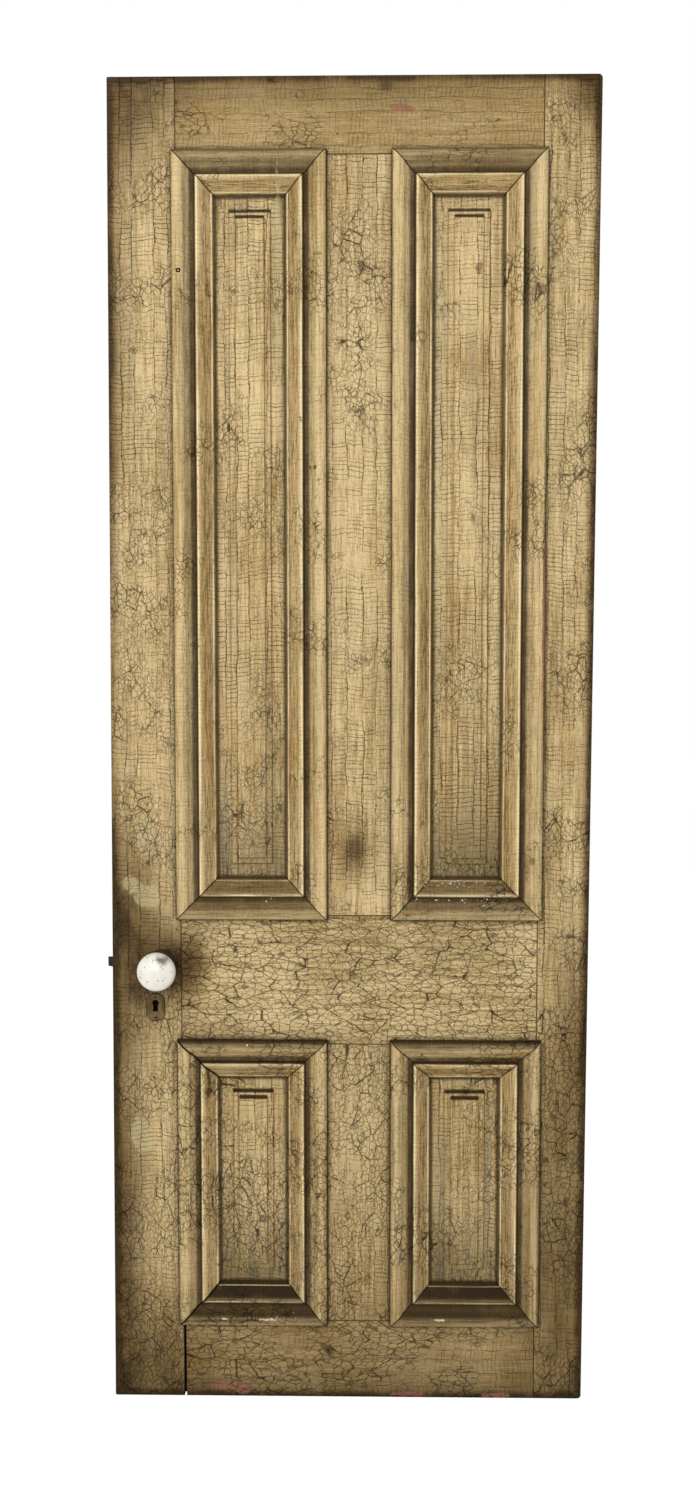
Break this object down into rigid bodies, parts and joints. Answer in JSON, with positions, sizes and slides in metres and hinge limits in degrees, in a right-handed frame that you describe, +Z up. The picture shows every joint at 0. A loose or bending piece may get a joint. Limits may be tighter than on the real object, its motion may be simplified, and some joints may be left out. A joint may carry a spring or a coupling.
{
  "type": "panelled interior door",
  "caption": "Old framed interior door leaf with raised panels and bolection mouldings, crackled cream paint, porcelain knobs and a mortise lock.",
  "frame": {"origin": "on the foot of the door, on the centre line of its mid-height width, halfway through the thickness", "axes": "+X from the lock edge to the hinge edge, +Y from the moulded front face to the back face, +Z up"},
  "size_m": [0.7278, 0.169, 1.96],
  "materials": {
    "cream_paint": "old crackled cream paint, satin where worn",
    "bare_softwood": "bare end grain, darkened",
    "white_porcelain": "gloss white glaze",
    "dark_iron": "dark, worn and slightly rusty",
    "painted_iron": "overpainted, worn brown",
    "spring_steel": "oiled steel",
    "steel_fixings": "dark steel"
  },
  "bodies": {
    "leaf": {"back_rose": "dark_iron", "bottom_rail": "cream_paint", "cap_screws": "steel_fixings", "dead_bolt_spring": "spring_steel", "escutcheon_pins": "steel_fixings", "front_escutcheon": "painted_iron", "front_rose": "dark_iron", "hinge_stile": "cream_paint", "latch_spring": "spring_steel", "lock_cap": "dark_iron", "lock_case": "dark_iron", "lock_face_screws": "steel_fixings", "lock_rail": "cream_paint", "lock_stile": "cream_paint", "lower_left_bottom_moulding": "cream_paint", "lower_left_left_moulding": "cream_paint", "lower_left_panel": "cream_paint", "lower_left_right_moulding": "cream_paint", "lower_left_top_moulding": "cream_paint", "lower_muntin": "cream_paint", "lower_right_bottom_moulding": "cream_paint", "lower_right_left_moulding": "cream_paint", "lower_right_panel": "cream_paint", "lower_right_right_moulding": "cream_paint", "lower_right_top_moulding": "cream_paint", "rose_screws": "steel_fixings", "tenon_wedges": "bare_softwood", "top_rail": "cream_paint", "upper_left_bottom_moulding": "cream_paint", "upper_left_left_moulding": "cream_paint", "upper_left_panel": "cream_paint", "upper_left_right_moulding": "cream_paint", "upper_left_top_moulding": "cream_paint", "upper_muntin": "cream_paint", "upper_right_bottom_moulding": "cream_paint", "upper_right_left_moulding": "cream_paint", "upper_right_panel": "cream_paint", "upper_right_right_moulding": "cream_paint", "upper_right_top_moulding": "cream_paint"},
    "knobs": {"lock_hub": "dark_iron", "knob_spindle": "dark_iron", "front_knob": "white_porcelain", "back_knob": "white_porcelain", "front_knob_shank": "dark_iron", "back_knob_shank": "dark_iron", "set_screws": "steel_fixings"},
    "latch": {"latch_bolt": "dark_iron"},
    "deadbolt": {"dead_bolt": "dark_iron"}
  },
  "joints": [
    {"name": "knob_turn", "type": "hinge", "parent": "leaf", "child": "knobs", "pos_m": [-0.28363, 0, 0.6675], "axis": [0, 1, 0], "range_deg": [0, 50], "stiffness_Nm_per_rad": 0.35, "springref_deg": -17.19},
    {"name": "latch_slide", "type": "slide", "parent": "leaf", "child": "latch", "axis": [1, 0, 0], "range_m": [0, 0.0105], "deforming": ["latch_spring"]},
    {"name": "dead_bolt_slide", "type": "slide", "parent": "leaf", "child": "deadbolt", "axis": [-1, 0, 0], "range_m": [0, 0.012], "deforming": ["dead_bolt_spring"]}
  ],
  "couplings": [
    {"joint": "latch_slide", "follows": "knob_turn", "m_per_rad": 0.012031}
  ]
}
